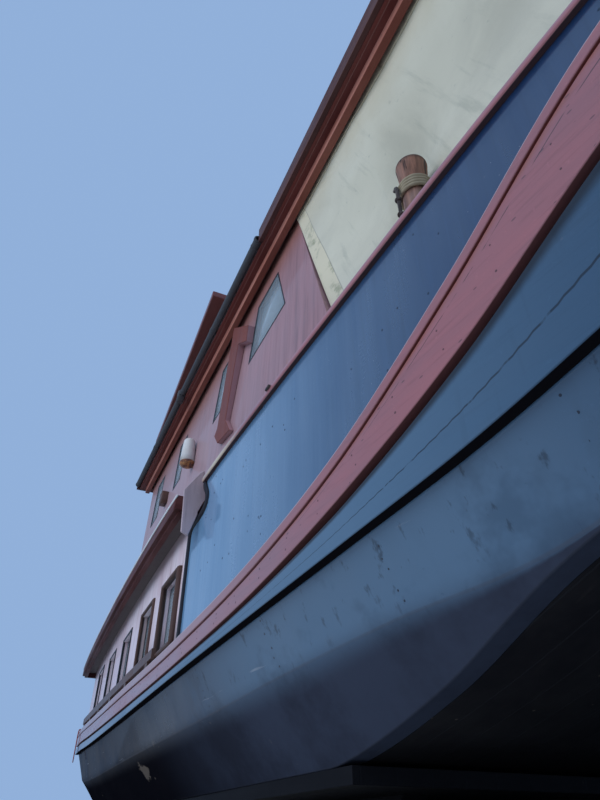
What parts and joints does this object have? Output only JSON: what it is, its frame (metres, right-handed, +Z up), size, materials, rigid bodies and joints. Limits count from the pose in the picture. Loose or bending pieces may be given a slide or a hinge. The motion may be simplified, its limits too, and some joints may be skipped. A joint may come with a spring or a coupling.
{
  "type": "houseboat",
  "caption": "Wooden cabin houseboat: flat-bottomed tarred hull with double rubbing strakes, low aft cabin, tall saloon under a long roof, canvas side screens, rudder and propeller.",
  "frame": {"origin": "on the ground, below the middle of the boat's box", "axes": "+X towards the bow, +Y to port, +Z up"},
  "size_m": [14.5, 4.3844, 4.86],
  "materials": {
    "navy_gloss": "gloss navy paint over planking",
    "maroon_gloss": "maroon paint, worn",
    "dull_red_paint": "dull faded red paint with vertical brush marks",
    "dark_red_paint": "dark red paint",
    "brown_paint": "dark brown paint",
    "black_bottom": "black bottom coating, matt",
    "weathered_oak": "bare weathered wood",
    "canvas": "off-white canvas with mildew streaks",
    "deck_paint": "grey-beige deck paint",
    "glass": "clear window glass",
    "galvanised": "dull galvanised metal",
    "bronze": "propeller bronze",
    "gutter_plastic": "dark grey plastic pipe",
    "rope_tan": "laid rope",
    "rope_red": "red laid rope"
  },
  "bodies": {
    "boat": {"aft_cabin_bulkhead": "dull_red_paint", "aft_cabin_roof": "deck_paint", "aft_cabin_sole": "deck_paint", "aft_cabin_wall_port": "dull_red_paint", "aft_cabin_wall_starboard": "dull_red_paint", "aft_deck": "deck_paint", "aft_roof_edge": "brown_paint", "bottom_and_keels": "black_bottom", "bulwark_port": "navy_gloss", "bulwark_starboard": "navy_gloss", "canvas_screen_port": "canvas", "canvas_screen_starboard": "canvas", "cap_rail_port": "maroon_gloss", "cap_rail_starboard": "maroon_gloss", "engine_block": "galvanised", "engine_bulkhead": "weathered_oak", "foredeck": "deck_paint", "front_steps": "weathered_oak", "glass_aft_cabin_port": "glass", "glass_aft_cabin_starboard": "glass", "glass_saloon": "glass", "gutter_port": "gutter_plastic", "gutter_starboard": "gutter_plastic", "hull_bottom": "black_bottom", "hull_side_port": "navy_gloss", "hull_side_starboard": "navy_gloss", "main_roof": "deck_paint", "main_roof_edge": "brown_paint", "mooring_rope_tail": "rope_tan", "mooring_rope_turns": "rope_tan", "roof_arch": "dark_red_paint", "roof_end_bracket_port": "dull_red_paint", "roof_end_bracket_starboard": "dull_red_paint", "rubbing_strakes_port": "maroon_gloss", "rubbing_strakes_starboard": "maroon_gloss", "rudder_gudgeons": "galvanised", "saloon_back": "dull_red_paint", "saloon_floor": "deck_paint", "saloon_front": "dull_red_paint", "saloon_wall_port": "dull_red_paint", "saloon_wall_starboard": "dull_red_paint", "samson_post_port": "weathered_oak", "samson_post_starboard": "weathered_oak", "side_door_frame_port": "dark_red_paint", "side_door_frame_starboard": "dark_red_paint", "stem_post": "navy_gloss", "stern_rope_loop": "rope_red", "toe_rail_port": "brown_paint", "toe_rail_starboard": "brown_paint", "transom": "navy_gloss", "wale_port": "navy_gloss", "wale_starboard": "navy_gloss", "wheelhouse_roof": "dark_red_paint", "wheelhouse_sides": "dark_red_paint"},
    "propeller_body": {"propeller": "bronze"},
    "rudder_body": {"rudder": "galvanised"},
    "saloon_door_body": {"saloon_door": "dark_red_paint"},
    "aft_cabin_door_body": {"aft_cabin_door": "dark_red_paint"},
    "foredeck_hatch_body": {"foredeck_hatch": "maroon_gloss"},
    "roof_hatch_body": {"roof_hatch": "maroon_gloss"}
  },
  "joints": [
    {"name": "propeller_spin", "type": "hinge", "parent": "boat", "child": "propeller_body", "pos_m": [-6.69, 0, 0.262], "axis": [1, 0, 0], "continuous": true},
    {"name": "rudder_turn", "type": "hinge", "parent": "boat", "child": "rudder_body", "pos_m": [-6.96, 0, 1.3], "axis": [0, 0, 1], "range_deg": [-35, 35]},
    {"name": "saloon_door_swing", "type": "hinge", "parent": "boat", "child": "saloon_door_body", "pos_m": [1.88815, 0.32, 3], "axis": [-0.3219, 0, 0.9468], "range_deg": [0, 95]},
    {"name": "aft_door_swing", "type": "hinge", "parent": "boat", "child": "aft_cabin_door_body", "pos_m": [-5.9115, 0.32, 1.5], "axis": [0, 0, -1], "range_deg": [0, 100]},
    {"name": "foredeck_hatch_lift", "type": "hinge", "parent": "boat", "child": "foredeck_hatch_body", "pos_m": [3.9585, 0, 1.753], "axis": [0, -1, 0], "range_deg": [0, 100]},
    {"name": "roof_hatch_lift", "type": "hinge", "parent": "boat", "child": "roof_hatch_body", "pos_m": [0.9385, 0, 4.386], "axis": [0, -1, 0], "range_deg": [0, 100]}
  ]
}
